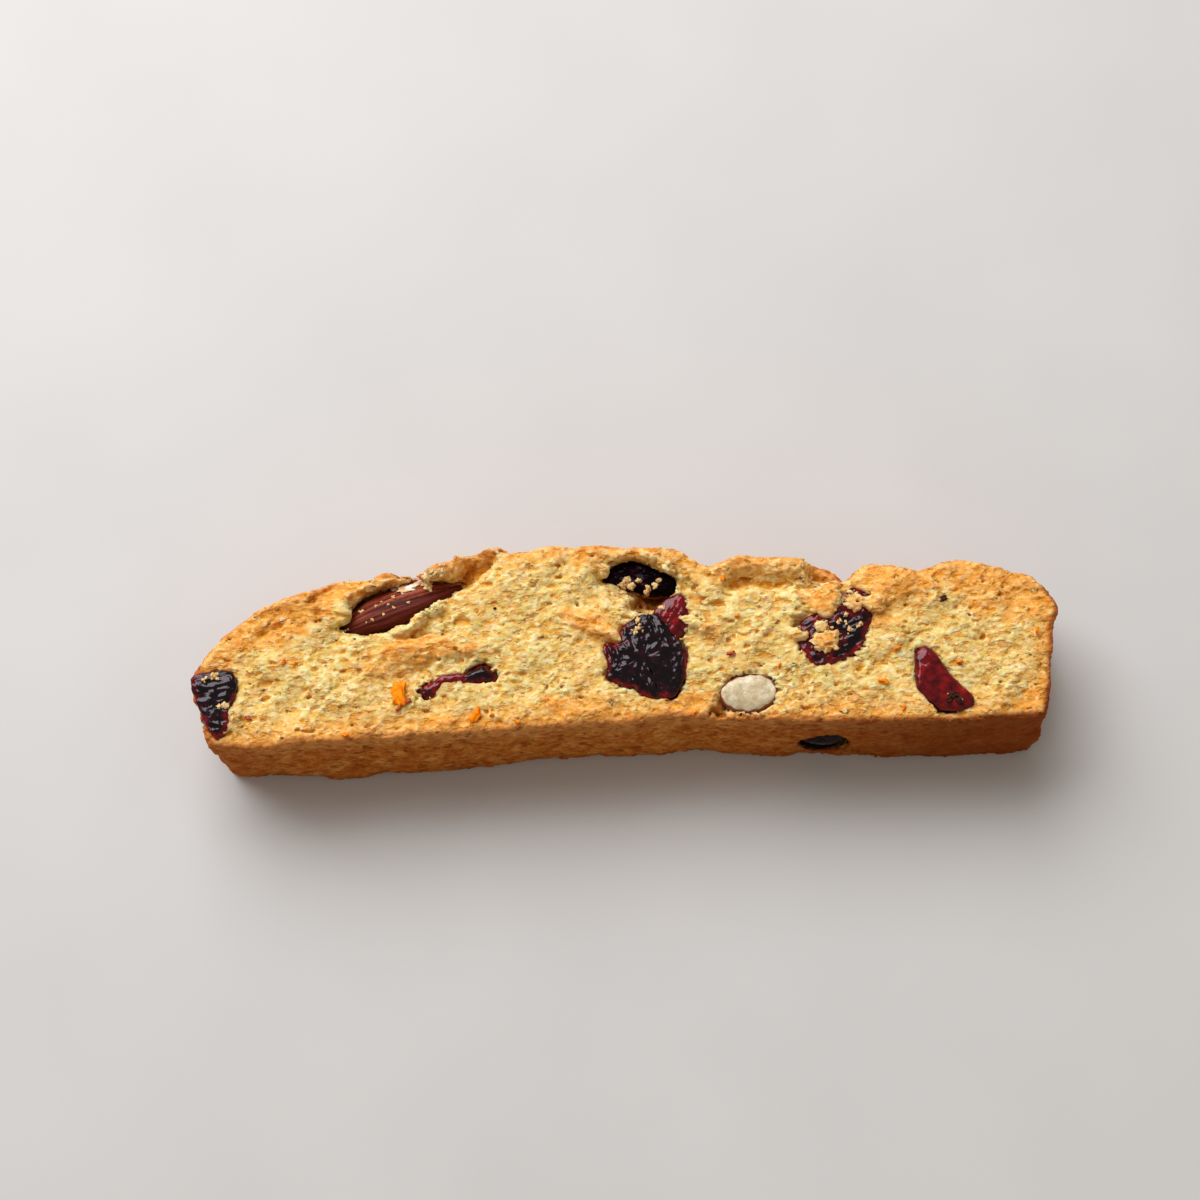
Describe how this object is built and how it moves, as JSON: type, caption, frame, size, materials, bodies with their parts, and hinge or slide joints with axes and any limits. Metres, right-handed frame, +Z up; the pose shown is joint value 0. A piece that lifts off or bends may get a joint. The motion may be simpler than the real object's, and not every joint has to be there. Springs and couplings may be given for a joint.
{
  "type": "biscotti",
  "caption": "Long slice of a low domed biscotti loaf with almonds and dried cranberries, lying on its cut face.",
  "frame": {"origin": "middle of the lower cut face, which the slice rests on", "axes": "+X along the slice, +Y from the loaf's flat base crust to its domed crust, +Z up from the lower cut face to the upper one"},
  "size_m": [0.1412, 0.0354, 0.0196],
  "materials": {
    "crumb": "dry, rough, twice-baked crumb, toasted golden brown at the crust",
    "almond_skin": "dry wrinkled nut skin with a low sheen",
    "almond_kernel": "smooth cut nut, slightly waxy",
    "cranberry_dark": "wrinkled dried fruit, sticky gloss",
    "cranberry_red": "wrinkled dried fruit, sticky gloss, lets some light through"
  },
  "bodies": {
    "root": {"dough": "crumb", "almond_whole": "almond_skin", "almond_cut": "almond_kernel", "cranberry_strip": "cranberry_dark", "cranberry_front": "cranberry_dark", "cranberry_left_end": "cranberry_dark", "cranberry_back": "cranberry_dark", "cranberry_middle": "cranberry_dark", "cranberry_flap": "cranberry_red", "cranberry_under_crumbs": "cranberry_dark", "cranberry_right": "cranberry_red"}
  },
  "joints": []
}
